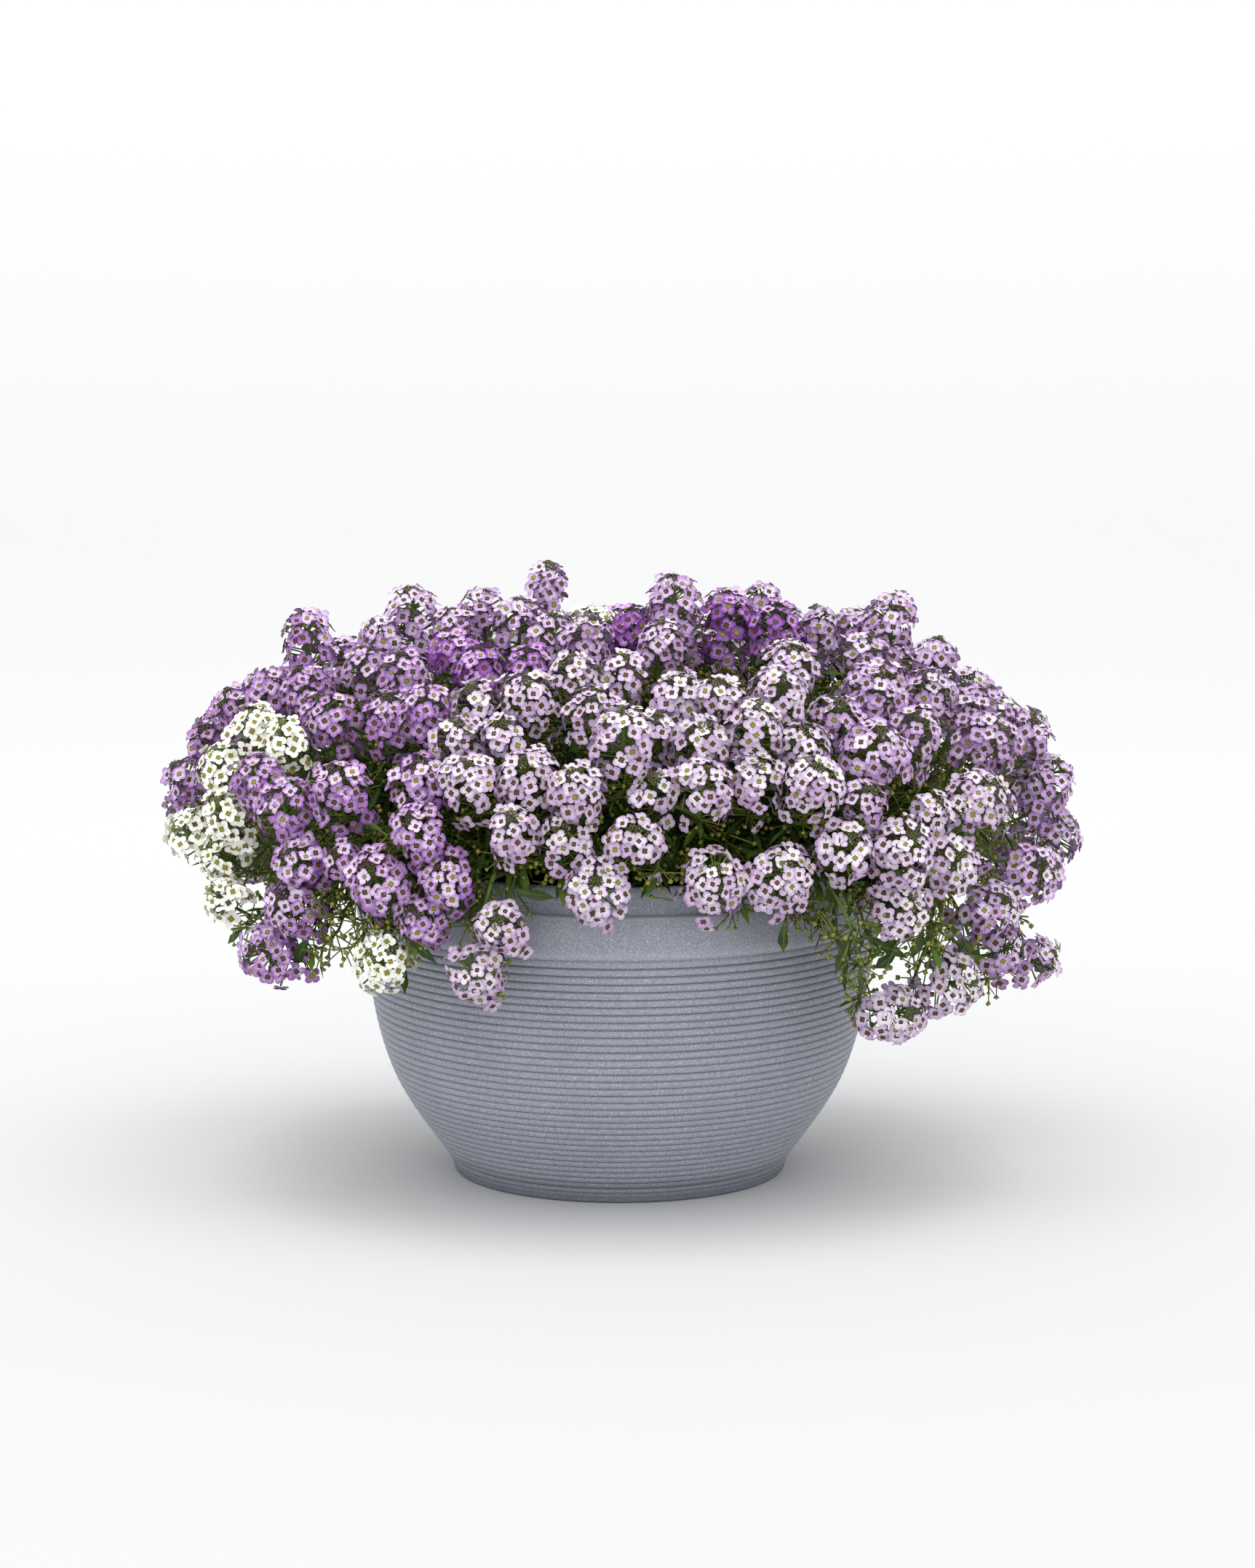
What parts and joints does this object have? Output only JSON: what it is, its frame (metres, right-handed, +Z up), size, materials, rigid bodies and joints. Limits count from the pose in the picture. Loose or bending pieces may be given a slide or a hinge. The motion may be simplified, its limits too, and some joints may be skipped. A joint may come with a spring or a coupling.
{
  "type": "potted sweet alyssum",
  "caption": "Sweet alyssum in full flower, a wide low mound of lilac, violet and white flower heads on leafy stems, growing in a ribbed round bowl pot.",
  "frame": {"origin": "centre of the pot's round underside, on the surface that the pot stands on", "axes": "+Z up; +X along the mound's longest spread, to the right when seen from its front; -Y to the front, where the mound leaves the pot's rim free"},
  "size_m": [0.4411, 0.3349, 0.2997],
  "materials": {
    "pot_plastic": "blue-grey recycled plastic with a fine light speckle, satin",
    "soil": "dark damp peat compost, crumbly and dull",
    "foliage": "living leaf and stem green, softly matt",
    "pale_petals": "very pale lilac petals with near-white rims, matt",
    "lilac_petals": "lilac petals with paler rims, matt",
    "violet_petals": "violet petals, matt",
    "purple_petals": "deep purple petals, matt",
    "white_petals": "cream white petals, matt"
  },
  "bodies": {
    "root": {"pot": "pot_plastic", "potting_soil": "soil", "stems_and_leaves": "foliage", "lilac_heads_1": "lilac_petals", "lilac_heads_2": "lilac_petals", "lilac_heads_3": "lilac_petals", "lilac_heads_4": "lilac_petals", "lilac_heads_5": "lilac_petals", "lilac_heads_6": "lilac_petals", "lilac_heads_7": "lilac_petals", "lilac_heads_8": "lilac_petals", "lilac_heads_9": "lilac_petals", "lilac_heads_10": "lilac_petals", "lilac_heads_11": "lilac_petals", "lilac_heads_12": "lilac_petals", "lilac_heads_13": "lilac_petals", "lilac_heads_14": "lilac_petals", "pale_heads_1": "pale_petals", "pale_heads_2": "pale_petals", "pale_heads_3": "pale_petals", "pale_heads_4": "pale_petals", "pale_heads_5": "pale_petals", "pale_heads_6": "pale_petals", "pale_heads_7": "pale_petals", "pale_heads_8": "pale_petals", "pale_heads_9": "pale_petals", "pale_heads_10": "pale_petals", "pale_heads_11": "pale_petals", "pale_heads_12": "pale_petals", "pale_heads_13": "pale_petals", "pale_heads_14": "pale_petals", "pale_heads_15": "pale_petals", "pale_heads_16": "pale_petals", "pale_heads_17": "pale_petals", "pale_heads_18": "pale_petals", "purple_heads_1": "purple_petals", "purple_heads_2": "purple_petals", "purple_heads_3": "purple_petals", "purple_heads_4": "purple_petals", "purple_heads_5": "purple_petals", "purple_heads_6": "purple_petals", "violet_heads_1": "violet_petals", "violet_heads_2": "violet_petals", "violet_heads_3": "violet_petals", "violet_heads_4": "violet_petals", "violet_heads_5": "violet_petals", "violet_heads_6": "violet_petals", "violet_heads_7": "violet_petals", "violet_heads_8": "violet_petals", "violet_heads_9": "violet_petals", "violet_heads_10": "violet_petals", "violet_heads_11": "violet_petals", "violet_heads_12": "violet_petals", "white_heads_1": "white_petals", "white_heads_2": "white_petals", "white_heads_3": "white_petals", "white_heads_4": "white_petals", "white_heads_5": "white_petals", "white_heads_6": "white_petals"}
  },
  "joints": []
}
